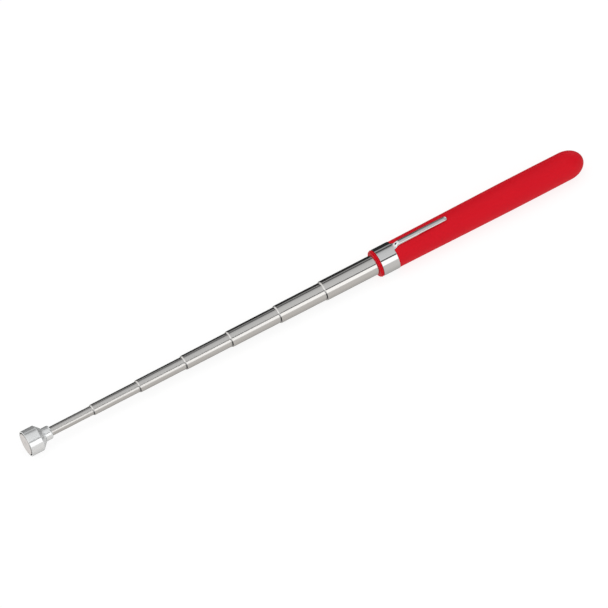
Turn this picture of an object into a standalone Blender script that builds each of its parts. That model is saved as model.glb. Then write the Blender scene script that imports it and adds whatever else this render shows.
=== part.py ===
"""A telescopic magnetic pick-up tool: a soft red grip over a fixed tube, six thinner tubes
that draw out of it one from another, and a magnet in a turned head on the last of them.

Metres, +Z up. The tool lies on its grip along X, with its head at -X and its pocket clip on
top. The origin is at the middle of its base as it lies part drawn out. Every round piece is
turned about the tool's axis, and lengths along it count from the mouth of the grip: minus
is towards the head, plus is towards the closed end of the grip.
"""

import math

import bpy

MM = 0.001

# Driving dimensions.
SIDES = 32  # facets round every turned piece; one facet faces straight down
FIXED_TUBE_RADIUS = 5.1 * MM
TUBE_STEP = 0.46 * MM  # each tube's radius is this much less than that of the one it slides in
TUBE_WALL = 0.2 * MM
FIXED_TUBE_SHOWS = 29.25 * MM  # from the grip's mouth to the fixed tube's lip
FIXED_TUBE_DEPTH = 104.0 * MM  # from the grip's mouth to the fixed tube's rear end
STAGE_LENGTH = 125.0 * MM  # each sliding tube
DRAWN_OUT = [mm * MM for mm in (25.8, 27.2, 25.7, 25.8, 25.85, 23.0)]  # each stage, as the tool lies
GRIP_LENGTH = 119.2 * MM
GRIP_MOST_RADIUS = 7.35 * MM
HEAD_RADIUS = 6.7 * MM
HEAD_LENGTH = 14.0 * MM  # from the magnet's face to the rear of the neck
NECK_RADIUS = 3.5 * MM

# Tube ends.
LIP_LENGTH = 0.9 * MM  # rolled in at the front of a tube, to keep the next one from pulling out
LIP_GAP = 0.08 * MM  # between the lip and the tube that slides through it
LIP_TAPER = 0.65 * MM
BEAD_HEIGHT = 0.14 * MM  # ridges that hold the friction spring, and stop on the next tube's lip
BEAD_LENGTH = 1.0 * MM
SPRING_SEAT = 5.5 * MM  # between the bead and the flare at a stage's rear end
SPRING_LENGTH = 4.9 * MM
SPRING_GAP = 0.05 * MM
SPRING_THICKNESS = 0.14 * MM
SPRING_WRAP = math.radians(325)

# Grip and the plug that ends the fixed tube.
BORE_GAP = 0.1 * MM
GRIP_DOME = 9.9 * MM  # length of the rounded end
MOUTH_BEAD_LENGTH = 2.0 * MM
MOUTH_BEAD_RADIUS = 7.15 * MM
PLUG_SHANK_LENGTH = 7.0 * MM
PLUG_HEAD_LENGTH = 9.8 * MM
PLUG_ROUND = 5.0 * MM

# Pocket clip.
BAND_START = 2.2 * MM
BAND_END = 11.2 * MM
BAND_RADIUS = 7.13 * MM
BAND_THICKNESS = 0.5 * MM
CLIP_GAP = 0.35 * MM  # where the band's bend lets the arm spring
CLIP_THICKNESS = 0.45 * MM
CLIP_COLUMNS = 8
# Stations along the arm, in mm: length from the mouth, height of its top over the axis, half
# width, and how far its turned-down edges hang below its top.
CLIP_STATIONS_MM = (
    (11.55, 7.58, 2.30, 0.45),
    (12.6, 7.76, 2.05, 0.50),
    (13.9, 8.25, 1.65, 0.85),
    (15.3, 8.58, 1.38, 1.10),
    (19.4, 8.62, 1.34, 1.15),
    (25.0, 8.52, 1.32, 1.10),
    (27.0, 8.48, 1.30, 0.75),
    (34.4, 8.38, 1.27, 0.70),
    (39.9, 8.30, 1.24, 0.65),
    (41.4, 8.20, 1.10, 0.45),
    (42.1, 8.00, 0.80, 0.30),
)

# Head.
CUP_LENGTH = 7.0 * MM
CONE_LENGTH = 2.7 * MM
CONE_END_RADIUS = 3.95 * MM
UNDERCUT_WIDTH = 0.45 * MM
UNDERCUT_RADIUS = 3.0 * MM
CUP_BORE = 6.2 * MM
CUP_DEPTH = 6.1 * MM
RIM_CHAMFER = 0.2 * MM
RIM_SETBACK = 0.25 * MM  # the pole plate stands this proud of the cup
NECK_ROUND = 0.8 * MM
SOCKET_DEPTH = 5.4 * MM  # bore of the neck, which the last tube fills
SOCKET_RADIUS = 2.42 * MM
STUD_RADIUS = 2.05 * MM
STUD_TIP_RADIUS = 1.5 * MM
STUD_TAIL = 4.0 * MM  # length inside the last tube, behind the neck
DISC_GAP = 0.1 * MM
POLE_RADIUS = 5.55 * MM
MAGNET_RADIUS = 5.4 * MM
POLE_THICKNESS = 1.0 * MM
KEEPER_THICKNESS = 1.2 * MM

STAGES = len(DRAWN_OUT)
NECK_REAR = -(FIXED_TUBE_SHOWS + sum(DRAWN_OUT))  # from the grip's mouth
FACE = NECK_REAR - HEAD_LENGTH
AXIS_HEIGHT = GRIP_MOST_RADIUS * math.cos(math.pi / SIDES)
MOUTH_X = -(FACE + GRIP_LENGTH) / 2


def clear_scene():
    for obj in list(bpy.data.objects):
        bpy.data.objects.remove(obj, do_unlink=True)


def make_material(name, colour, roughness, metallic):
    material = bpy.data.materials.new(name)
    material.use_nodes = True
    shader = material.node_tree.nodes["Principled BSDF"]
    shader.inputs["Base Color"].default_value = (*colour, 1.0)
    shader.inputs["Roughness"].default_value = roughness
    shader.inputs["Metallic"].default_value = metallic
    return material


def make_joint_empty(name, collection, parent, offset):
    """An empty on the tool's axis, this far along X from its parent's."""
    empty = bpy.data.objects.new(name, None)
    collection.objects.link(empty)
    empty.parent = parent
    empty.location = (offset, 0, 0) if parent else (offset, 0, AXIS_HEIGHT)
    return empty


def add_piece(name, mesh, material, collection, parent):
    piece = bpy.data.objects.new(name, mesh)
    mesh.materials.append(material)
    collection.objects.link(piece)
    piece.parent = parent
    return piece


def turn_about_axis(piece, angle=2 * math.pi):
    """Sweeps a profile in the piece's XZ plane about its Z, which then lies along the tool."""
    screw = piece.modifiers.new("turn", "SCREW")
    screw.axis = "Z"
    screw.angle = angle
    screw.steps = screw.render_steps = round(SIDES * angle / (2 * math.pi))
    screw.use_merge_vertices = angle >= 2 * math.pi
    screw.merge_threshold = 0.000001
    screw.use_smooth_shade = True
    piece.rotation_mode = "ZYX"
    piece.rotation_euler = (0, math.pi / 2, math.pi / SIDES)
    return piece


def make_turned(name, outer, inner, material, collection, parent):
    """A turned piece. outer and inner are (length, radius) from the head's end to the grip's."""
    profile = list(reversed(outer)) + list(inner)
    edges = [(i, i + 1) for i in range(len(profile) - 1)]
    if profile[0][1] > 0:
        edges.append((len(profile) - 1, 0))
    mesh = bpy.data.meshes.new(name)
    mesh.from_pydata([(radius, 0, length) for length, radius in profile], edges, [])
    return turn_about_axis(add_piece(name, mesh, material, collection, parent))


def arc(centre, radii, start, end, count):
    """(length, radius) points on an arc or part of an ellipse, with angles in degrees."""
    angles = [math.radians(start + (end - start) * i / count) for i in range(count + 1)]
    return [
        (
            centre[0] + radii[0] * math.sin(a),
            max(0.0, centre[1] + radii[1] * math.cos(a)),
        )
        for a in angles
    ]


def rolled_front(radius):
    """(outer, inner) profile points of a tube's rolled-in lip, whose front is at length 0."""
    hole = radius - TUBE_STEP + LIP_GAP
    outer = [(0, hole + 0.1 * MM), (0.08 * MM, radius - 0.22 * MM), (LIP_TAPER, radius)]
    inner = [(0, hole), (LIP_LENGTH - 0.15 * MM, hole), (LIP_LENGTH, radius - TUBE_WALL)]
    return outer, inner


def make_fixed_tube(steel, collection, handle):
    outer, inner = rolled_front(FIXED_TUBE_RADIUS)
    length = FIXED_TUBE_SHOWS + FIXED_TUBE_DEPTH
    outer.append((length, FIXED_TUBE_RADIUS))
    inner.append((length, FIXED_TUBE_RADIUS - TUBE_WALL))
    tube = make_turned("fixed_tube", outer, inner, steel, collection, handle)
    tube.location.x = -FIXED_TUBE_SHOWS


def make_stage(number, steel, brass, collection, slide, turn):
    """One sliding tube and the split brass ring that grips the tube round it."""
    radius = FIXED_TUBE_RADIUS - number * TUBE_STEP
    if number < STAGES:
        outer, inner = rolled_front(radius)
    else:
        front = 0.2 * MM - SOCKET_DEPTH
        outer, inner = [(front, radius)], [(front, radius - TUBE_WALL)]
    ridge = radius + BEAD_HEIGHT
    flare = STAGE_LENGTH - BEAD_LENGTH
    bead = flare - SPRING_SEAT - BEAD_LENGTH
    outer += [
        (bead, radius),
        (bead + BEAD_HEIGHT, ridge),
        (bead + BEAD_LENGTH - BEAD_HEIGHT, ridge),
        (bead + BEAD_LENGTH, radius),
        (flare, radius),
        (flare + BEAD_HEIGHT, ridge),
        (STAGE_LENGTH, ridge),
    ]
    inner.append((STAGE_LENGTH, radius - TUBE_WALL))
    make_turned(f"stage_tube_{number}", outer, inner, steel, collection, turn)

    start = flare - (SPRING_SEAT + SPRING_LENGTH) / 2
    mesh = bpy.data.meshes.new(f"friction_spring_{number}")
    ends = [(radius + SPRING_GAP, 0, start + SPRING_LENGTH), (radius + SPRING_GAP, 0, start)]
    mesh.from_pydata(ends, [(0, 1)], [])
    spring = add_piece(f"friction_spring_{number}", mesh, brass, collection, slide)
    turn_about_axis(spring, SPRING_WRAP)
    shell = spring.modifiers.new("sheet", "SOLIDIFY")
    shell.thickness = SPRING_THICKNESS
    shell.offset = 1


def make_grip(vinyl, collection, handle):
    """The dipped sleeve: a beaded mouth, a seat for the clip's band, a taper and a round end."""
    bore = FIXED_TUBE_RADIUS + BORE_GAP
    seat = BAND_RADIUS - BAND_THICKNESS - BORE_GAP
    outer = [
        (0, MOUTH_BEAD_RADIUS - 0.6 * MM),
        (0.25 * MM, MOUTH_BEAD_RADIUS - 0.15 * MM),
        (0.8 * MM, MOUTH_BEAD_RADIUS),
        (MOUTH_BEAD_LENGTH - 0.4 * MM, MOUTH_BEAD_RADIUS),
        (MOUTH_BEAD_LENGTH, seat),
        (BAND_END + 0.1 * MM, seat),
        (BAND_END + 0.5 * MM, 6.85 * MM),
        (30.0 * MM, 7.0 * MM),
        (52.0 * MM, 7.2 * MM),
        (75.0 * MM, GRIP_MOST_RADIUS),
        (95.0 * MM, GRIP_MOST_RADIUS),
    ]
    dome_radius = GRIP_MOST_RADIUS - 0.1 * MM
    outer += arc((GRIP_LENGTH - GRIP_DOME, 0), (GRIP_DOME, dome_radius), 0, 90, 8)
    plug_end = FIXED_TUBE_DEPTH + PLUG_HEAD_LENGTH + 2 * BORE_GAP
    inner = [(0, bore)] + arc((plug_end - PLUG_ROUND, 0), (PLUG_ROUND, bore), 0, 90, 5)
    make_turned("grip_sleeve", outer, inner, vinyl, collection, handle)


def make_end_plug(nylon, collection, handle):
    shank = FIXED_TUBE_RADIUS - TUBE_WALL - BORE_GAP
    front = FIXED_TUBE_DEPTH - PLUG_SHANK_LENGTH
    shoulder = FIXED_TUBE_DEPTH + BORE_GAP
    outer = [
        (front, 0),
        (front, shank - 0.5 * MM),
        (front + 0.5 * MM, shank),
        (shoulder, shank),
        (shoulder, FIXED_TUBE_RADIUS),
    ]
    round_centre = FIXED_TUBE_DEPTH + PLUG_HEAD_LENGTH - PLUG_ROUND
    outer += arc((round_centre, 0), (PLUG_ROUND, FIXED_TUBE_RADIUS), 0, 90, 5)
    make_turned("end_plug", outer, [], nylon, collection, handle)


def make_clip_band(chrome, collection, handle):
    edge = 0.15 * MM
    outer = [
        (BAND_START, BAND_RADIUS - edge),
        (BAND_START + edge, BAND_RADIUS),
        (BAND_END - edge, BAND_RADIUS),
        (BAND_END, BAND_RADIUS - edge),
    ]
    inner = [(x, BAND_RADIUS - BAND_THICKNESS) for x in (BAND_START, BAND_END)]
    make_turned("pocket_clip_band", outer, inner, chrome, collection, handle)


def make_clip_arm(chrome, collection, hinge, hinge_at):
    """The clip's spring arm: a strip rounded across, which rises from the band and runs back."""
    points = []
    for station in CLIP_STATIONS_MM:
        x, top, half_width, depth = (length * MM for length in station)
        for column in range(CLIP_COLUMNS + 1):
            angle = math.pi * (column / CLIP_COLUMNS - 0.5)
            height = top - depth * (1 - math.cos(angle))
            across = half_width * math.sin(angle)
            points.append((x - hinge_at[0], across, height - hinge_at[1]))
    row = CLIP_COLUMNS + 1
    faces = [
        (i * row + j, (i + 1) * row + j, (i + 1) * row + j + 1, i * row + j + 1)
        for i in range(len(CLIP_STATIONS_MM) - 1)
        for j in range(CLIP_COLUMNS)
    ]
    mesh = bpy.data.meshes.new("pocket_clip_arm")
    mesh.from_pydata(points, [], faces)
    mesh.shade_smooth()
    arm = add_piece("pocket_clip_arm", mesh, chrome, collection, hinge)
    shell = arm.modifiers.new("sheet", "SOLIDIFY")
    shell.thickness = CLIP_THICKNESS
    shell.offset = -1
    shell.use_even_offset = True


def make_head(aluminium, steel, nickel, collection, turn):
    """The turned head, whose neck ends at the stage's own zero, and what it holds."""
    face = -HEAD_LENGTH
    rim = face + RIM_SETBACK
    cone = face + CUP_LENGTH
    undercut = cone + CONE_LENGTH
    outer = [
        (rim, HEAD_RADIUS - RIM_CHAMFER),
        (rim + RIM_CHAMFER, HEAD_RADIUS),
        (cone - 0.2 * MM, HEAD_RADIUS),
        (cone + 0.1 * MM, HEAD_RADIUS - 0.12 * MM),
        (undercut, CONE_END_RADIUS),
        (undercut, UNDERCUT_RADIUS),
        (undercut + UNDERCUT_WIDTH, UNDERCUT_RADIUS),
        (undercut + UNDERCUT_WIDTH, NECK_RADIUS),
    ]
    rounded = (NECK_ROUND, NECK_ROUND)
    outer += arc((-NECK_ROUND, NECK_RADIUS - NECK_ROUND), rounded, 0, 90, 4)
    floor = face + CUP_DEPTH
    inner = [
        (rim, CUP_BORE),
        (floor, CUP_BORE),
        (floor, STUD_TIP_RADIUS + DISC_GAP),
        (-SOCKET_DEPTH, STUD_TIP_RADIUS + DISC_GAP),
        (-SOCKET_DEPTH, SOCKET_RADIUS),
        (0, SOCKET_RADIUS),
    ]
    make_turned("head_housing", outer, inner, aluminium, collection, turn)

    stud = [
        (floor + DISC_GAP, 0),
        (floor + DISC_GAP, STUD_TIP_RADIUS),
        (-SOCKET_DEPTH + DISC_GAP, STUD_TIP_RADIUS),
        (-SOCKET_DEPTH + DISC_GAP, STUD_RADIUS),
        (STUD_TAIL, STUD_RADIUS),
        (STUD_TAIL, 0),
    ]
    make_turned("head_stud", stud, [], steel, collection, turn)

    pole_rear = face + POLE_THICKNESS
    keeper_front = floor - DISC_GAP - KEEPER_THICKNESS
    discs = {
        "pole_plate": (face, pole_rear, POLE_RADIUS, steel),
        "magnet_disc": (pole_rear + DISC_GAP, keeper_front - DISC_GAP, MAGNET_RADIUS, nickel),
        "keeper_plate": (keeper_front, floor - DISC_GAP, CUP_BORE - DISC_GAP, steel),
    }
    for name, (front, rear, radius, metal) in discs.items():
        outline = [(front, 0), (front, radius), (rear, radius), (rear, 0)]
        make_turned(name, outline, [], metal, collection, turn)


def make_tool():
    clear_scene()
    tool = bpy.data.collections.new("telescopic_magnet_pickup")
    bpy.context.scene.collection.children.link(tool)
    vinyl = make_material("red_vinyl", (0.62, 0.012, 0.022), 0.5, 0.0)
    steel = make_material("polished_steel", (0.72, 0.71, 0.69), 0.2, 1.0)
    chrome = make_material("chrome", (0.8, 0.8, 0.8), 0.08, 1.0)
    aluminium = make_material("turned_aluminium", (0.8, 0.82, 0.84), 0.25, 1.0)
    nickel = make_material("nickel", (0.7, 0.68, 0.64), 0.2, 1.0)
    brass = make_material("spring_brass", (0.72, 0.5, 0.2), 0.35, 1.0)
    nylon = make_material("black_nylon", (0.03, 0.03, 0.03), 0.5, 0.0)

    handle = make_joint_empty("handle", tool, None, MOUTH_X)
    make_fixed_tube(steel, tool, handle)
    make_grip(vinyl, tool, handle)
    make_end_plug(nylon, tool, handle)
    make_clip_band(chrome, tool, handle)

    hinge_at = (BAND_END + CLIP_GAP / 2, BAND_RADIUS - BAND_THICKNESS / 2)
    hinge = make_joint_empty("clip_flex", tool, handle, hinge_at[0])
    hinge.location.z = hinge_at[1]
    make_clip_arm(chrome, tool, hinge, hinge_at)

    front = handle
    offset = -FIXED_TUBE_SHOWS
    for number, drawn in enumerate(DRAWN_OUT, start=1):
        slide = make_joint_empty(f"slide_{number}", tool, front, offset - drawn)
        turn = make_joint_empty(f"turn_{number}", tool, slide, 0)
        make_stage(number, steel, brass, tool, slide, turn)
        front, offset = turn, 0
    make_head(aluminium, steel, nickel, tool, front)
    bpy.context.view_layer.update()


make_tool()
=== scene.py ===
"""The looks of a telescopic magnetic pick-up tool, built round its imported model.

The tool lies along X: magnet at -X, red grip at +X, pocket clip on top. Lengths are in
metres. Every turned piece is swept round the tool's axis from its own profile, whose
lengths along the tool are measured from the mouth of the grip.
"""

import math

import bmesh
import bpy
from mathutils import Matrix, Vector


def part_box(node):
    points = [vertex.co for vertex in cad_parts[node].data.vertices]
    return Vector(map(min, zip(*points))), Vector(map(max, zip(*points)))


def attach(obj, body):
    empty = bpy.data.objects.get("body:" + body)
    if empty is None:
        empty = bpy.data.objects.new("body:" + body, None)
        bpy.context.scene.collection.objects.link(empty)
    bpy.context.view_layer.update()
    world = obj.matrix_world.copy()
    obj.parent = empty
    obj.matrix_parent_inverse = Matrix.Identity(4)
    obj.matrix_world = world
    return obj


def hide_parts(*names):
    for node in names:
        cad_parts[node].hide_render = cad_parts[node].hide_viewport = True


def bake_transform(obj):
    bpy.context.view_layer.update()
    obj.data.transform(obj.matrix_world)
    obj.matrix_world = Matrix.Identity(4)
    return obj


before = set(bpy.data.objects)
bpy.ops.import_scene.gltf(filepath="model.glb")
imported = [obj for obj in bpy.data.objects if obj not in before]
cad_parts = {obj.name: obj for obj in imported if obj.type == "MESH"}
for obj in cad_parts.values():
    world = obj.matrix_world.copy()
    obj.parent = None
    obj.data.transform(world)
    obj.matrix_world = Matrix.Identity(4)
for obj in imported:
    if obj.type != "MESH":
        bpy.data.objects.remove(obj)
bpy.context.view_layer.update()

MM = 0.001
AROUND = 128  # facets round a turned piece
FILLET_STEPS = 4
CAD_SIDES = 32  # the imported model's facets, whose corners lie on the true radius
TRUE_RADIUS = 1 / math.cos(math.pi / CAD_SIDES)


# Where things are, from the frame.
def front_of(node):
    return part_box(node)[0].x


def rear_of(node):
    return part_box(node)[1].x


def radius_of(node):
    low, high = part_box(node)
    return (high.z - low.z) / 2 * TRUE_RADIUS


grip_low, grip_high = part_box("grip_sleeve")
AXIS = (grip_low.z + grip_high.z) / 2
MOUTH = grip_low.x
GRIP_LENGTH = grip_high.x - grip_low.x
GRIP_RADIUS = radius_of("grip_sleeve")
STAGES = [f"stage_tube_{number}" for number in range(1, 7)]
STAGE_BODIES = ["stage_1", "stage_2", "stage_3", "stage_4", "stage_5", "head"]
FIXED_RADIUS = radius_of("fixed_tube")
RIDGE = 0.14 * MM  # how far a stage's rear ridges stand proud
STAGE_RADII = [radius_of(node) - RIDGE for node in STAGES]
WALL = 0.2 * MM
LIP_LENGTH = 0.9 * MM
LIP_TAPER = 0.68 * MM  # length over which a tube's front rolls in
LIP_DROP = 0.25 * MM
LIP_GAP = 0.08 * MM  # between a lip and the tube that slides through it
RIDGE_LENGTH = 1.0 * MM
SPRING_SEAT = 5.5 * MM  # between a stage's two rear ridges
HEAD_FRONT = front_of("head_housing")
HEAD_REAR = rear_of("head_housing")
HEAD_RADIUS = radius_of("head_housing")
CUP_LENGTH = 7.0 * MM  # the head's wide part, from the pole face
CUP_DEPTH = 6.1 * MM
CUP_BORE = 6.2 * MM
CONE_LENGTH = 2.7 * MM
CONE_END_RADIUS = 3.95 * MM
UNDERCUT_WIDTH = 0.45 * MM
UNDERCUT_RADIUS = 3.0 * MM
NECK_RADIUS = 3.5 * MM
NECK_DOME_LENGTH = 1.0 * MM
NECK_DOME_DROP = 0.9 * MM
SOCKET_DEPTH = 5.4 * MM  # bore of the head's neck
SOCKET_RADIUS = 2.42 * MM
STUD_HOLE_RADIUS = 1.6 * MM
POLE_RADIUS = 5.56 * MM
DIMPLE_RADIUS = 0.95 * MM  # the small hollow in the middle of the pole face
GRIP_DOME = 9.9 * MM  # length of the grip's rounded end
BAND_ROOM = 0.6 * MM  # from the band's outside down to the grip under it
CLIP_THICKNESS = 0.45 * MM


# Geometry.
def filleted(corners):
    """A loop of (length, radius, rounding) corners as (length, radius) points."""
    points = []
    for index, (x, r, rounding) in enumerate(corners):
        here = Vector((x, r))
        before = Vector(corners[index - 1][:2]) - here
        after = Vector(corners[(index + 1) % len(corners)][:2]) - here
        if rounding <= 0:
            points.append(here)
            continue
        half = before.angle(after) / 2
        reach = min(rounding / math.tan(half), 0.48 * before.length, 0.48 * after.length)
        start = here + before.normalized() * reach
        end = here + after.normalized() * reach
        for step in range(FILLET_STEPS + 1):
            t = step / FILLET_STEPS
            points.append(start * (1 - t) ** 2 + here * 2 * t * (1 - t) + end * t**2)
    return points


def finish_mesh(name, mesh_data, material, smooth_angle=math.radians(50)):
    bmesh.ops.recalc_face_normals(mesh_data, faces=mesh_data.faces)
    mesh = bpy.data.meshes.new(name)
    mesh_data.to_mesh(mesh)
    mesh_data.free()
    mesh.shade_smooth()
    mesh.set_sharp_from_angle(angle=smooth_angle)
    mesh.materials.append(material)
    piece = bpy.data.objects.new(name, mesh)
    bpy.context.scene.collection.objects.link(piece)
    return piece


def turned(name, corners, material, wobble=None):
    """Sweeps a closed loop of corners round the axis. wobble(x, angle) is added to the radius."""
    data = bmesh.new()
    rings = []
    for x, r in filleted(corners):
        if r < 1e-7:
            rings.append([data.verts.new((x, 0, 0))])
            continue
        ring = []
        for step in range(AROUND):
            angle = 2 * math.pi * step / AROUND
            radius = r + (wobble(x, angle) if wobble else 0)
            ring.append(data.verts.new((x, radius * math.sin(angle), radius * math.cos(angle))))
        rings.append(ring)
    open_ends = len(rings[0]) == 1 or len(rings[-1]) == 1
    pairs = list(zip(rings, rings[1:])) + ([] if open_ends else [(rings[-1], rings[0])])
    for ring_a, ring_b in pairs:
        for step in range(AROUND):
            after = (step + 1) % AROUND
            corner_points = [
                ring_a[step % len(ring_a)],
                ring_a[after % len(ring_a)],
                ring_b[after % len(ring_b)],
                ring_b[step % len(ring_b)],
            ]
            unique = list(dict.fromkeys(corner_points))
            if len(unique) >= 3:
                data.faces.new(unique)
    piece = finish_mesh(name, data, material)
    piece.location = (MOUTH, 0, AXIS)
    return piece


def place(piece, body, slot, *nodes):
    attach(piece, body)
    if nodes:
        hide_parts(*nodes)
    return piece


# Materials.
def add_node(tree, kind, inputs=None, **settings):
    """A shader node. An input is a value, or the socket that feeds it."""
    made = tree.nodes.new(kind)
    for key, value in settings.items():
        setattr(made, key, value)
    for key, value in (inputs or {}).items():
        if isinstance(value, bpy.types.NodeSocket):
            tree.links.new(value, made.inputs[key])
        else:
            made.inputs[key].default_value = value
    return made


def start_material(name):
    material = bpy.data.materials.new(name)
    material.use_nodes = True
    tree = material.node_tree
    return material, tree, tree.nodes["Principled BSDF"]


def noise(tree, place_socket, stretch, detail=4.0, roughness=0.55):
    """A noise whose grain is stretch cells a metre along each axis of the piece."""
    mapping = add_node(tree, "ShaderNodeMapping", {"Vector": place_socket, "Scale": stretch})
    made = add_node(
        tree,
        "ShaderNodeTexNoise",
        {"Vector": mapping.outputs[0], "Scale": 1.0, "Detail": detail, "Roughness": roughness},
    )
    return made.outputs["Fac"]


def spread(tree, fac, low, high, start=0.3, end=0.7):
    """A socket's values from start to end, stretched to run from low to high."""
    return add_node(
        tree,
        "ShaderNodeMapRange",
        {"Value": fac, "From Min": start, "From Max": end, "To Min": low, "To Max": high},
    ).outputs[0]


def mixed(tree, fac, first, second):
    """Two colours mixed by a socket. Each is a socket, or red, green and blue."""
    if not isinstance(first, bpy.types.NodeSocket):
        first = (*first, 1)
    if not isinstance(second, bpy.types.NodeSocket):
        second = (*second, 1)
    made = add_node(tree, "ShaderNodeMix", {0: fac, 6: first, 7: second}, data_type="RGBA")
    return made.outputs[2]


def added(tree, first, second):
    made = add_node(tree, "ShaderNodeMath", {0: first, 1: second}, operation="ADD")
    return made.outputs[0]


def metal(name, light, dark, roughness, lines_along=True, line_depth=0.004 * MM, metallic=1.0):
    """Bright metal with drawn or turned lines, faint smudges and a roughness that varies."""
    material, tree, shader = start_material(name)
    where = add_node(tree, "ShaderNodeTexCoord").outputs["Object"]
    fine, coarse = 9000.0, 60.0
    stretch = (coarse, fine, fine) if lines_along else (fine, coarse, coarse)
    lines = noise(tree, where, stretch, detail=3.0)
    smudges = noise(tree, where, (90.0, 160.0, 160.0), detail=5.0, roughness=0.6)
    low, high = roughness
    rough = added(
        tree,
        spread(tree, lines, low, (low + high) / 2),
        spread(tree, smudges, 0.0, (high - low) / 2, 0.45, 0.75),
    )
    tree.links.new(mixed(tree, smudges, light, dark), shader.inputs["Base Color"])
    tree.links.new(rough, shader.inputs["Roughness"])
    shader.inputs["Metallic"].default_value = metallic
    bump = add_node(
        tree, "ShaderNodeBump", {"Height": lines, "Strength": 0.35, "Distance": line_depth}
    )
    tree.links.new(bump.outputs[0], shader.inputs["Normal"])
    return material


def vinyl_material():
    """Soft dipped vinyl: satin, with a fine skin and slow colour changes."""
    material, tree, shader = start_material("dipped_vinyl")
    where = add_node(tree, "ShaderNodeTexCoord").outputs["Object"]
    slow = noise(tree, where, (35.0, 90.0, 90.0), detail=3.0)
    skin = noise(tree, where, (2600.0,) * 3, detail=4.0, roughness=0.65)
    colour = mixed(tree, slow, (0.64, 0.0020, 0.0110), (0.585, 0.0028, 0.0130))
    tree.links.new(colour, shader.inputs["Base Color"])
    rough = added(tree, spread(tree, skin, 0.46, 0.56), spread(tree, slow, 0.0, 0.06))
    tree.links.new(rough, shader.inputs["Roughness"])
    shader.inputs["Specular IOR Level"].default_value = 0.15
    shader.inputs["Subsurface Weight"].default_value = 0.06
    shader.inputs["Subsurface Scale"].default_value = 0.0006
    shader.inputs["Subsurface Radius"].default_value = (1.0, 0.15, 0.1)
    bump = add_node(
        tree, "ShaderNodeBump", {"Height": skin, "Strength": 0.35, "Distance": 0.02 * MM}
    )
    tree.links.new(bump.outputs[0], shader.inputs["Normal"])
    return material


def plastic_material():
    material, tree, shader = start_material("moulded_nylon")
    where = add_node(tree, "ShaderNodeTexCoord").outputs["Object"]
    grain = noise(tree, where, (1800.0,) * 3)
    colour = mixed(tree, grain, (0.022, 0.022, 0.024), (0.035, 0.035, 0.036))
    tree.links.new(colour, shader.inputs["Base Color"])
    tree.links.new(spread(tree, grain, 0.42, 0.55), shader.inputs["Roughness"])
    return material


def tube_metal(number):
    """The polish of tube number 0 to 6, duller toward the head."""
    light = 0.80 - 0.008 * number
    dulling = 0.022 * number
    return metal(
        f"polished_tube_{number}",
        (light, light * 0.99, light * 0.97),
        (light * 0.95, light * 0.935, light * 0.915),
        (0.09 + dulling, 0.20 + dulling),
    )


VINYL = vinyl_material()
TUBES = [tube_metal(number) for number in range(7)]
CHROME = metal("clip_chrome_plate", (0.86, 0.865, 0.87), (0.82, 0.825, 0.83), (0.05, 0.13))
HEAD_METAL = metal(
    "turned_head_metal",
    (0.94, 0.955, 0.96),
    (0.89, 0.905, 0.91),
    (0.11, 0.20),
    lines_along=False,
    metallic=0.70,
)
PLATE = metal("ground_plate", (0.84, 0.81, 0.795), (0.78, 0.755, 0.74), (0.30, 0.42))
NICKEL = metal("magnet_nickel_plate", (0.72, 0.70, 0.66), (0.66, 0.64, 0.60), (0.2, 0.32))
BRASS = metal("rolled_brass", (0.76, 0.55, 0.24), (0.68, 0.47, 0.18), (0.25, 0.4))
NYLON = plastic_material()


# The grip.
def make_grip():
    bore = FIXED_RADIUS + 0.1 * MM
    seat = radius_of("pocket_clip_band") - BAND_ROOM
    band_end = rear_of("pocket_clip_band") - MOUTH
    outer = [
        (0.45 * MM, bore, 0.0),
        (0.45 * MM, 6.45 * MM, 0.3 * MM),
        (0.72 * MM, 6.82 * MM, 0.3 * MM),
        (0.95 * MM, 6.78 * MM, 0.12 * MM),
        (1.06 * MM, 6.50 * MM, 0.06 * MM),
        (1.18 * MM, 6.90 * MM, 0.12 * MM),
        (1.34 * MM, 7.14 * MM, 0.3 * MM),
        (1.86 * MM, 7.14 * MM, 0.3 * MM),
        (2.0 * MM, seat, 0.05 * MM),
        (band_end + 0.05 * MM, seat, 0.05 * MM),
        (band_end + 0.30 * MM, 6.88 * MM, 0.35 * MM),
        (band_end + 3.0 * MM, 6.93 * MM, 1.0 * MM),
        (30.0 * MM, 7.02 * MM, 5.0 * MM),
        (52.0 * MM, 7.20 * MM, 5.0 * MM),
        (75.0 * MM, GRIP_RADIUS, 5.0 * MM),
        (95.0 * MM, GRIP_RADIUS, 5.0 * MM),
    ]
    dome_radius = GRIP_RADIUS - 0.1 * MM
    steps = 24
    for step in range(steps):
        angle = math.pi / 2 * step / steps
        x = GRIP_LENGTH - GRIP_DOME * (1 - math.sin(angle))
        outer.append((x, dome_radius * math.cos(angle), 0.0))
    outer.append((GRIP_LENGTH, 0.0, 0.0))
    inner_end = rear_of("end_plug") - MOUTH + 0.2 * MM
    inner = [
        (inner_end, 0.0, 0.0),
        (inner_end - 0.8 * MM, bore * 0.6, 1.0 * MM),
        (inner_end - 5.0 * MM, bore, 2.0 * MM),
    ]

    def wobble(x, angle):
        """The slight unevenness of a dipped skin, which fades out under the band and at the bore."""
        if x < band_end + 1.0 * MM or x > GRIP_LENGTH - 1.0 * MM:
            return 0.0
        along = x / (9.0 * MM)
        return 0.018 * MM * math.sin(along) * math.sin(2 * angle + 0.6 * along)

    grip = turned("dipped_grip", outer + inner, VINYL, wobble)
    return place(grip, "handle", "grip_vinyl", "grip_sleeve")


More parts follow.
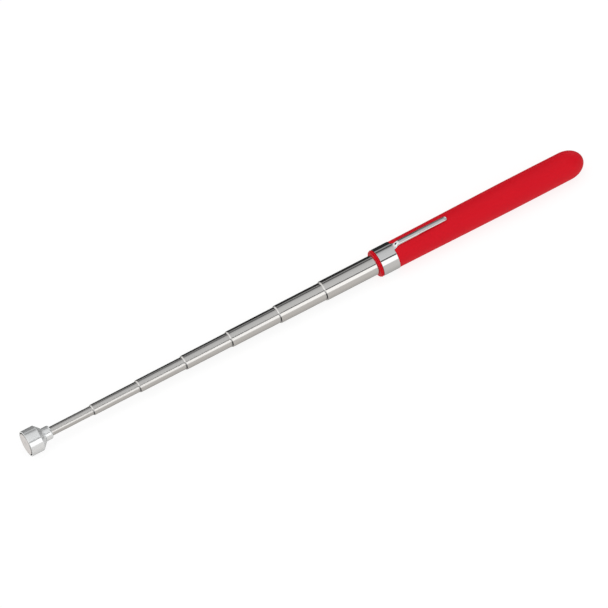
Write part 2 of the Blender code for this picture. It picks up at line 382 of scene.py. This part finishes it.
# The tubes.
def lip_corners(front, radius, step):
    """(outer, inner) corners of a tube's rolled-in front."""
    hole = radius - step + LIP_GAP
    rear = front + LIP_LENGTH
    outer = [
        (front, hole, 0.05 * MM),
        (front, radius - LIP_DROP, 0.1 * MM),
        (front + LIP_TAPER, radius, 0.25 * MM),
    ]
    inner = [(rear, hole, 0.05 * MM), (rear, radius - WALL, 0.1 * MM)]
    return outer, inner


def ridge_corners(start, radius):
    """A ridge round a stage's rear, which stops on the next tube's lip."""
    top, side = radius + RIDGE, 0.15 * MM
    end = start + RIDGE_LENGTH
    return [
        (start, radius, side),
        (start + side, top, side),
        (end - side, top, side),
        (end, radius, side),
    ]


def make_tubes():
    step = FIXED_RADIUS - STAGE_RADII[0]
    front, rear = front_of("fixed_tube") - MOUTH, rear_of("fixed_tube") - MOUTH
    outer, inner = lip_corners(front, FIXED_RADIUS, step)
    outer.append((rear, FIXED_RADIUS, 0.05 * MM))
    outer.append((rear, FIXED_RADIUS - WALL, 0.05 * MM))
    tube = turned("fixed_chrome_tube", outer + inner[::-1], TUBES[0])
    place(tube, "handle", "tube_steel", "fixed_tube")

    for number, (node, radius, body) in enumerate(zip(STAGES, STAGE_RADII, STAGE_BODIES), 1):
        front, rear = front_of(node) - MOUTH, rear_of(node) - MOUTH
        if node == STAGES[-1]:
            outer, inner = [(front, radius - WALL, 0.0), (front, radius, 0.05 * MM)], []
        else:
            outer, inner = lip_corners(front, radius, step)
        flare = rear - RIDGE_LENGTH
        outer += ridge_corners(flare - SPRING_SEAT - RIDGE_LENGTH, radius)
        outer += ridge_corners(flare, radius)[:2]
        outer += [(rear, radius + RIDGE, 0.05 * MM), (rear, radius - WALL, 0.05 * MM)]
        tube = turned(f"sliding_chrome_tube_{number}", outer + inner[::-1], TUBES[number])
        place(tube, body, "tube_steel", node)


# The head.
def make_head():
    front, rear = front_of("pole_plate") - MOUTH, HEAD_REAR - MOUTH
    rim = HEAD_FRONT - MOUTH
    cup_end = front + CUP_LENGTH
    undercut = cup_end + CONE_LENGTH
    neck_start = undercut + UNDERCUT_WIDTH
    cup_floor = front + CUP_DEPTH
    neck_dome = []
    steps = 8
    for step in range(steps + 1):
        angle = math.pi / 2 * step / steps
        x = rear - NECK_DOME_LENGTH * (1 - math.sin(angle))
        neck_dome.append((x, NECK_RADIUS - NECK_DOME_DROP * (1 - math.cos(angle)), 0.0))
    corners = [
        (rim, CUP_BORE, 0.08 * MM),
        (rim, HEAD_RADIUS, 0.22 * MM),
        (cup_end, HEAD_RADIUS, 0.35 * MM),
        (undercut, CONE_END_RADIUS, 0.15 * MM),
        (undercut, UNDERCUT_RADIUS, 0.1 * MM),
        (neck_start, UNDERCUT_RADIUS, 0.1 * MM),
        (neck_start, NECK_RADIUS, 0.12 * MM),
        *neck_dome,
        (rear, SOCKET_RADIUS, 0.1 * MM),
        (rear - SOCKET_DEPTH, SOCKET_RADIUS, 0.0),
        (rear - SOCKET_DEPTH, STUD_HOLE_RADIUS, 0.0),
        (cup_floor, STUD_HOLE_RADIUS, 0.0),
        (cup_floor, CUP_BORE, 0.1 * MM),
    ]
    housing = turned("turned_head", corners, HEAD_METAL)
    place(housing, "head", "head_aluminium", "head_housing")

    plate_rear = rear_of("pole_plate") - MOUTH
    corners = [
        (front + 0.75 * MM, 0.0, 0.0),
        (front + 0.60 * MM, DIMPLE_RADIUS * 0.6, 0.2 * MM),
        (front + 0.02 * MM, DIMPLE_RADIUS, 0.1 * MM),
        (front, POLE_RADIUS, 0.15 * MM),
        (plate_rear, POLE_RADIUS, 0.05 * MM),
        (plate_rear, 0.0, 0.0),
    ]
    plate = turned("pole_face", corners, PLATE)
    place(plate, "head", "plate_steel", "pole_plate")


# The pocket clip: one strip, wrapped round the grip as a band and running back as an arm.
def make_clip():
    band_front = front_of("pocket_clip_band") - MOUTH
    band_rear = rear_of("pocket_clip_band") - MOUTH
    radius = radius_of("pocket_clip_band")
    tongue = 6  # columns each side of the top that run on into the arm
    data = bmesh.new()
    rows = []
    for share in (0, 0.03, 0.5, 0.97, 1):
        x = band_front + (band_rear - band_front) * share
        row = []
        for column in range(AROUND):
            angle = 2 * math.pi * column / AROUND
            row.append(data.verts.new((x, radius * math.sin(angle), radius * math.cos(angle))))
        rows.append(row)
    for row_a, row_b in zip(rows, rows[1:]):
        for column in range(AROUND):
            after = (column + 1) % AROUND
            data.faces.new((row_a[column], row_a[after], row_b[after], row_b[column]))

    # Across the arm: (length, top, half width, depth of the sides, squareness). All but the
    # squareness are in millimetres; 2 is an ellipse, and more is nearer to a box.
    stations = (
        (11.7, 7.22, 2.05, 0.38, 2.0),
        (12.3, 7.30, 1.80, 0.48, 2.0),
        (12.9, 7.64, 1.60, 0.85, 2.2),
        (13.5, 8.08, 1.44, 1.28, 2.6),
        (14.2, 8.44, 1.40, 1.60, 3.2),
        (15.2, 8.60, 1.40, 1.74, 3.4),
        (18.4, 8.63, 1.40, 1.76, 3.4),
        (23.6, 8.57, 1.39, 1.68, 3.4),
        (25.2, 8.55, 1.38, 1.56, 3.4),
        (26.2, 8.52, 1.36, 0.92, 3.4),
        (27.0, 8.50, 1.35, 0.84, 3.4),
        (32.4, 8.43, 1.33, 0.84, 3.4),
        (38.4, 8.34, 1.30, 0.84, 3.4),
        (40.4, 8.32, 1.27, 0.82, 3.6),
        (41.3, 8.26, 1.18, 0.80, 3.0),
        (41.8, 8.12, 1.02, 0.74, 2.6),
        (42.0, 7.95, 0.84, 0.60, 2.2),
    )
    offsets = range(-tongue, tongue + 1)
    last = [rows[-1][offset % AROUND] for offset in offsets]
    for station in stations:
        x, top, half_width, depth = (length * MM for length in station[:4])
        square = station[4]
        strip = []
        for offset in offsets:
            angle = math.pi / 2 * offset / tongue
            side, drop = math.sin(angle), 1 - math.cos(angle)
            across = half_width * math.copysign(abs(side) ** (2 / square), side)
            height = top - depth * (1 - (1 - drop) ** (2 / square)) if drop < 1 else top - depth
            strip.append(data.verts.new((x, across, height)))
        for step in range(len(strip) - 1):
            data.faces.new((last[step], last[step + 1], strip[step + 1], strip[step]))
        last = strip
    clip = finish_mesh("pocket_clip", data, CHROME)
    clip.location = (MOUTH, 0, AXIS)
    shell = clip.modifiers.new("sheet", "SOLIDIFY")
    shell.thickness = CLIP_THICKNESS
    shell.offset = -1
    edge = clip.modifiers.new("edges", "BEVEL")
    edge.width = 0.09 * MM
    edge.segments = 2
    edge.angle_limit = math.radians(50)
    depsgraph = bpy.context.evaluated_depsgraph_get()
    solid = bpy.data.meshes.new_from_object(clip.evaluated_get(depsgraph))
    clip.modifiers.clear()
    clip.data = solid
    solid.set_sharp_from_angle(angle=math.radians(60))
    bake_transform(clip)
    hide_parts("pocket_clip_band", "pocket_clip_arm")


def finish_inner_nodes():
    """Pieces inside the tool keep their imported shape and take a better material."""
    looks = {"end_plug": NYLON, "head_stud": PLATE, "keeper_plate": PLATE, "magnet_disc": NICKEL}
    looks.update({f"friction_spring_{number}": BRASS for number in range(1, 7)})
    for node, material in looks.items():
        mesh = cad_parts[node].data
        mesh.materials.clear()
        mesh.materials.append(material)


# The studio.
def make_floor():
    bpy.ops.mesh.primitive_plane_add(size=60)
    floor = bpy.context.object
    floor.name = "studio_floor"
    material, tree, shader = start_material("pale_floor")
    where = add_node(tree, "ShaderNodeTexCoord").outputs["Object"]
    grain = noise(tree, where, (40.0,) * 3)
    colour = mixed(tree, grain, (0.215,) * 3, (0.225,) * 3)
    tree.links.new(colour, shader.inputs["Base Color"])
    shader.inputs["Roughness"].default_value = 0.9
    shader.inputs["Specular IOR Level"].default_value = 0.0
    shader.inputs["Emission Color"].default_value = (1, 1, 1, 1)
    shader.inputs["Emission Strength"].default_value = 0.81
    floor.data.materials.append(material)
    floor.visible_glossy = False


# The strips of light round the tool: (degrees from overhead, positive on the near side;
# brightness; warmth of the light).
STRIPS_AROUND = (
    (-180, 0.42, 0.03),
    (-162, 0.30, 0.02),
    (-147, 0.035, 0.0),
    (-72, 0.020, 0.0),
    (-67, 0.33, 0.0),
    (-58, 0.33, 0.0),
    (-54, 0.05, 0.0),
    (-46, 0.05, 0.0),
    (-39, 0.30, 0.0),
    (-30, 0.54, 0.0),
    (-5, 0.62, 0.0),
    (24, 0.64, 0.0),
    (31, 0.70, 0.0),
    (34, 0.03, 0.0),
    (41, 0.03, 0.0),
    (44, 1.20, 0.01),
    (77, 1.20, 0.01),
    (81, 0.60, 0.03),
    (120, 0.58, 0.04),
    (180, 0.42, 0.03),
)
# The same round the head's end, for what faces that way: bright but for a dark gap.
STRIPS_AHEAD = (
    (-180, 0.80, 0.03),
    (50, 0.95, 0.0),
    (66, 0.60, 0.0),
    (86, 0.05, 0.0),
    (164, 0.05, 0.0),
    (180, 0.80, 0.03),
)
# Farther ahead still, which only the bend of the clip's neck faces: narrow dark gaps.
STRIPS_FAR_AHEAD = (
    (-180, 0.90, 0.0),
    (-60, 0.95, 0.0),
    (-55, 0.02, 0.0),
    (-32, 0.02, 0.0),
    (-26, 1.20, 0.0),
    (26, 1.20, 0.0),
    (36, 0.03, 0.0),
    (60, 0.03, 0.0),
    (72, 0.80, 0.0),
    (180, 0.90, 0.0),
)
# And round the grip's end.
STRIPS_BEHIND = (
    (-180, 0.45, 0.02),
    (-128, 0.30, 0.0),
    (-112, 0.06, 0.0),
    (-100, 0.06, 0.0),
    (-90, 0.95, 0.01),
    (-58, 0.95, 0.01),
    (-48, 0.55, 0.0),
    (-10, 0.45, 0.0),
    (2, 0.05, 0.0),
    (14, 0.05, 0.0),
    (28, 0.60, 0.0),
    (90, 0.80, 0.01),
    (180, 0.45, 0.02),
)


def strip_ramp(tree, turn, table):
    """The colours of a table of strips, looked up by the angle round the tool."""
    made = add_node(tree, "ShaderNodeValToRGB", {0: turn})
    elements = made.color_ramp.elements
    while len(elements) > 1:
        elements.remove(elements[-1])
    for index, (degrees, level, warmth) in enumerate(table):
        position = (degrees + 180) / 360
        element = elements[0] if index == 0 else elements.new(position)
        element.position = position
        element.color = (level * (1 + warmth), level, level * (1 - warmth), 1)
    return made.outputs["Color"]


def make_world():
    """Soft studio surroundings: strips of light that run along the tool, between dark gaps."""
    world = bpy.data.worlds.new("studio")
    bpy.context.scene.world = world
    world.use_nodes = True
    tree = world.node_tree
    direction = add_node(tree, "ShaderNodeTexCoord").outputs["Generated"]
    parts = add_node(tree, "ShaderNodeSeparateXYZ", {0: direction})
    x, y, z = (parts.outputs[axis] for axis in "XYZ")
    near = add_node(tree, "ShaderNodeMath", {0: y, 1: -1.0}, operation="MULTIPLY").outputs[0]
    angle = add_node(tree, "ShaderNodeMath", {0: near, 1: z}, operation="ARCTAN2").outputs[0]
    turn = spread(tree, angle, 0.0, 1.0, -math.pi, math.pi)

    # Each later table takes over where the direction's x has passed its two limits.
    light = strip_ramp(tree, turn, STRIPS_AROUND)
    ahead = strip_ramp(tree, turn, STRIPS_AHEAD)
    far_ahead = strip_ramp(tree, turn, STRIPS_FAR_AHEAD)
    behind = strip_ramp(tree, turn, STRIPS_BEHIND)
    light = mixed(tree, spread(tree, x, 1.0, 0.0, -0.22, 0.05), light, ahead)
    light = mixed(tree, spread(tree, x, 1.0, 0.0, -0.53, -0.47), light, far_ahead)
    light = mixed(tree, spread(tree, x, 0.0, 1.0, 0.38, 0.55), light, behind)
    light = mixed(tree, spread(tree, x, 0.0, 1.0, 0.90, 0.97), light, (0.16,) * 3)
    seen = add_node(tree, "ShaderNodeLightPath").outputs["Is Camera Ray"]
    colour = mixed(tree, seen, light, (1, 1, 1))
    tree.links.new(colour, tree.nodes["Background"].inputs["Color"])


def add_soft_box(name, location, target, size, power):
    light = bpy.data.lights.new(name, "AREA")
    light.shape = "RECTANGLE"
    light.size, light.size_y = size
    light.energy = power
    box = bpy.data.objects.new(name, light)
    bpy.context.scene.collection.objects.link(box)
    box.location = location
    box.rotation_euler = (Vector(target) - Vector(location)).to_track_quat("-Z", "Y").to_euler()
    box.visible_glossy = False
    box.visible_camera = False


def make_camera():
    """A long lens from above the head end, turned so that the tool rises to the right."""
    toward = Vector((-0.242, -0.528, 0.814)).normalized()  # from the tool to the camera
    along = (Vector((1, 0, 0)) - toward * toward.x).normalized()
    across = toward.cross(along)
    slant = math.radians(27.29)  # of the tool in the picture
    right = along * math.cos(slant) - across * math.sin(slant)
    up = along * math.sin(slant) + across * math.cos(slant)
    view_width = 0.2979
    lens, sensor = 800.0, 36.0
    distance = view_width * lens / sensor
    # The picture's middle is this far left of and below a point just ahead of the grip.
    middle_left, middle_down = 27.75 * MM, 15.89 * MM
    aim = Vector((MOUTH - 7.3 * MM, 0, AXIS)) - right * middle_left - up * middle_down
    camera_data = bpy.data.cameras.new("camera")
    camera_data.lens = lens
    camera_data.sensor_width = sensor
    camera_data.clip_end = 100
    camera = bpy.data.objects.new("camera", camera_data)
    bpy.context.scene.collection.objects.link(camera)
    axes = Matrix((right, up, toward)).transposed().to_4x4()
    camera.matrix_world = Matrix.Translation(aim + toward * distance) @ axes
    bpy.context.scene.camera = camera


make_camera()
make_grip()
make_tubes()
make_head()
make_clip()
finish_inner_nodes()
make_floor()
make_world()
add_soft_box("key_light", (-0.2, -1.2, 1.6), (0, 0, 0), (1.6, 1.0), 9.7)
add_soft_box("top_light", (0.2, 0.3, 1.8), (0, 0, 0), (1.8, 1.4), 6.6)
bpy.context.scene.view_settings.view_transform = "Standard"
